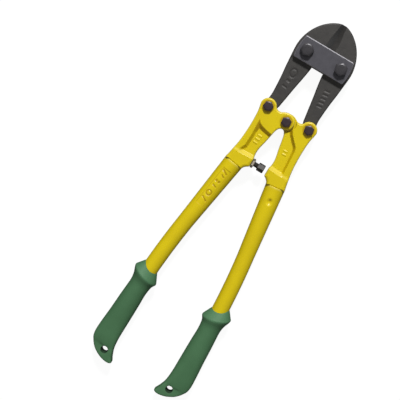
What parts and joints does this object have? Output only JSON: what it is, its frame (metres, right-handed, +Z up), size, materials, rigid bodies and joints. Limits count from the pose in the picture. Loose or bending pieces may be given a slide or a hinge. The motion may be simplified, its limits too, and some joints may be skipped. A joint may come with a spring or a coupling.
{
  "type": "bolt cutters",
  "caption": "Long-handled compound cutter: black jaws turn between side straps, driven by yellow cast handle heads and tubes with hooked green grips and an adjustable stop.",
  "frame": {"origin": "centre of the tool's outline, on the surface it lies on", "axes": "+Y from the grips to the jaws along the tool, +X to the right seen from above, +Z up out of the surface"},
  "size_m": [0.1266, 0.4556, 0.032],
  "materials": {
    "jaw_steel": "forged steel, black oxide, satin",
    "strap_steel": "pressed steel, blue-grey phosphate, satin",
    "black_bolt": "black oxide, satin",
    "screw_steel": "dark steel",
    "zinc_plate": "zinc plated",
    "yellow_enamel": "yellow enamel, semi-gloss",
    "green_vinyl": "moulded green vinyl, satin"
  },
  "bodies": {
    "straps": {"strap_front": "strap_steel", "strap_back": "strap_steel", "jaw_bolt_left": "black_bolt", "jaw_bolt_right": "black_bolt", "jaw_nut_left": "black_bolt", "jaw_nut_right": "black_bolt"},
    "jaw_left": {"jaw_left": "jaw_steel"},
    "jaw_right": {"jaw_right": "jaw_steel"},
    "handle_left": {"head_left": "yellow_enamel", "tube_left": "yellow_enamel", "grip_left": "green_vinyl", "link_bolt_left": "black_bolt", "link_washer_left": "zinc_plate", "link_nut_left": "black_bolt", "centre_bolt": "black_bolt", "centre_washer": "zinc_plate", "centre_nut": "black_bolt", "stop_lock_nut": "zinc_plate"},
    "handle_right": {"head_right": "yellow_enamel", "tube_right": "yellow_enamel", "grip_right": "green_vinyl", "link_bolt_right": "black_bolt", "link_washer_right": "zinc_plate", "link_nut_right": "black_bolt"},
    "stop_screw": {"stop_screw": "screw_steel"}
  },
  "joints": [
    {"name": "jaw_left_pivot", "type": "hinge", "parent": "straps", "child": "jaw_left", "pos_m": [-0.0207, 0.1856, 0.016], "axis": [0, 0, 1], "range_deg": [0, 6.72]},
    {"name": "jaw_right_pivot", "type": "hinge", "parent": "straps", "child": "jaw_right", "pos_m": [0.0207, 0.1856, 0.016], "axis": [0, 0, -1], "range_deg": [0, 6.72]},
    {"name": "handle_left_swing", "type": "hinge", "parent": "jaw_left", "child": "handle_left", "pos_m": [-0.0254, 0.1134, 0.016], "axis": [0, 0, -1], "range_deg": [0, 48]},
    {"name": "handle_right_swing", "type": "hinge", "parent": "jaw_right", "child": "handle_right", "pos_m": [0.0254, 0.1134, 0.016], "axis": [0, 0, 1], "range_deg": [0, 48]},
    {"name": "stop_screw_adjust", "type": "slide", "parent": "handle_left", "child": "stop_screw", "axis": [1, 0, 0], "range_m": [-0.001, 0.0025]}
  ],
  "couplings": [
    {"joint": "handle_right_swing", "follows": "handle_left_swing", "ratio": 1},
    {"joint": "jaw_left_pivot", "follows": "handle_left_swing", "ratio": 0.14},
    {"joint": "jaw_right_pivot", "follows": "handle_left_swing", "ratio": 0.14}
  ]
}
